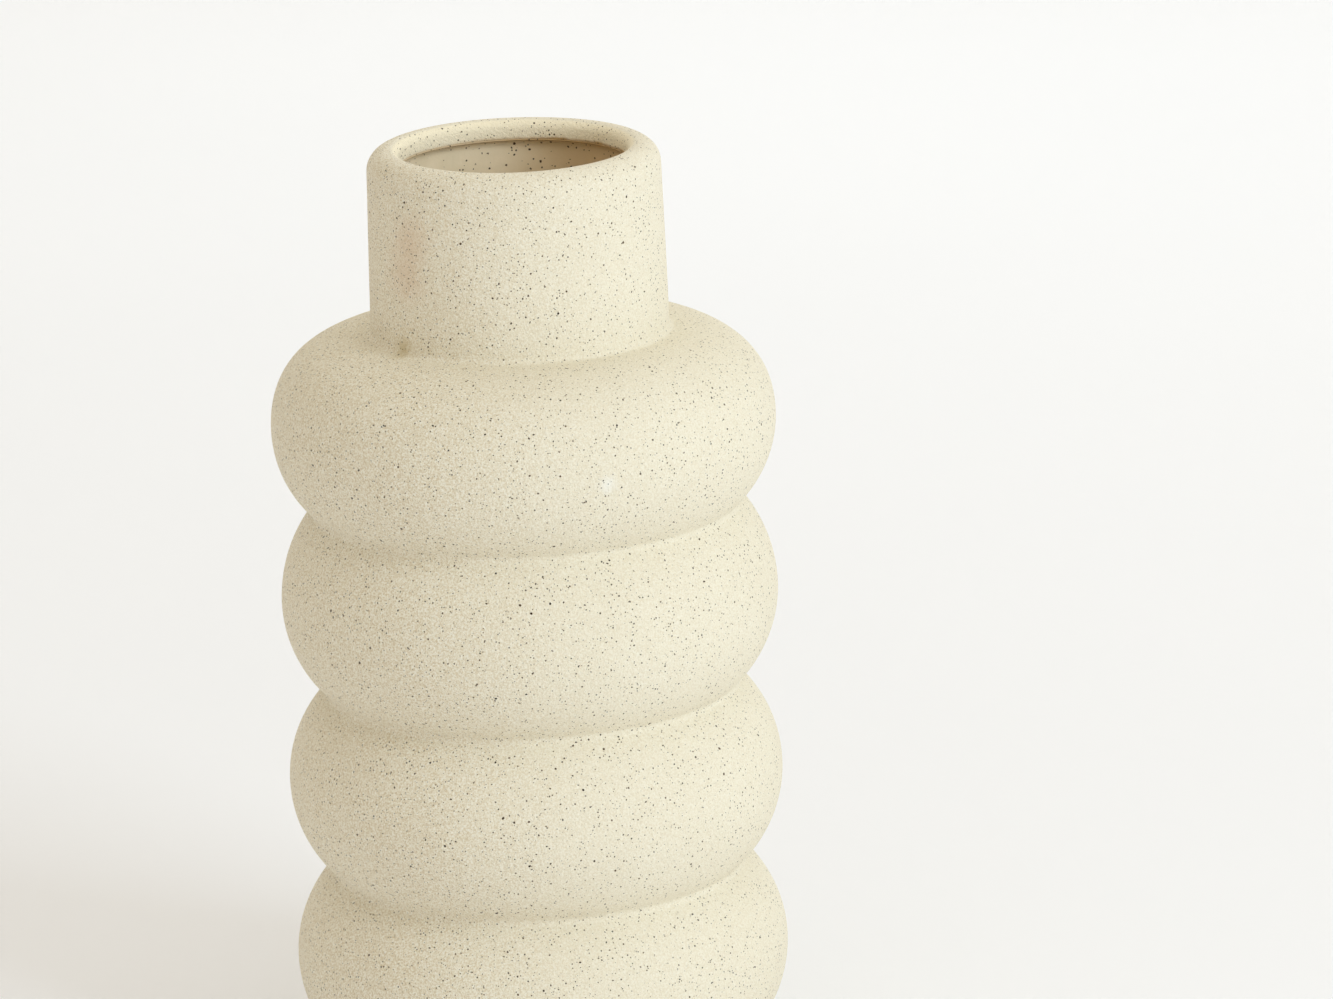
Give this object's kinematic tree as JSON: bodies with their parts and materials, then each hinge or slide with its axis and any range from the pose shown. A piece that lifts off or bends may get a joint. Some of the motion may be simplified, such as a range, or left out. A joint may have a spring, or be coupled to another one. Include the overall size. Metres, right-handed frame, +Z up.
{
  "type": "stoneware vase",
  "caption": "Tall ringed stoneware vase: a stack of rounded rings under a plain straight neck with a thick lip, glazed inside, on soft foot pads.",
  "frame": {"origin": "centre of the underside, on the surface that the vase stands on", "axes": "+Z up along the vase's axis of revolution; X and Y are equal"},
  "size_m": [0.16, 0.16, 0.3],
  "materials": {
    "speckled_stoneware": "matt, fine sandy grain with small dark brown specks",
    "liner_glaze": "thin satin clear glaze over tan clay, speckled",
    "foot_felt": "pressed felt"
  },
  "bodies": {
    "root": {"stoneware_body": "speckled_stoneware", "liner_glaze": "liner_glaze", "foot_pad_1": "foot_felt", "foot_pad_2": "foot_felt", "foot_pad_3": "foot_felt", "foot_pad_4": "foot_felt"}
  },
  "joints": []
}
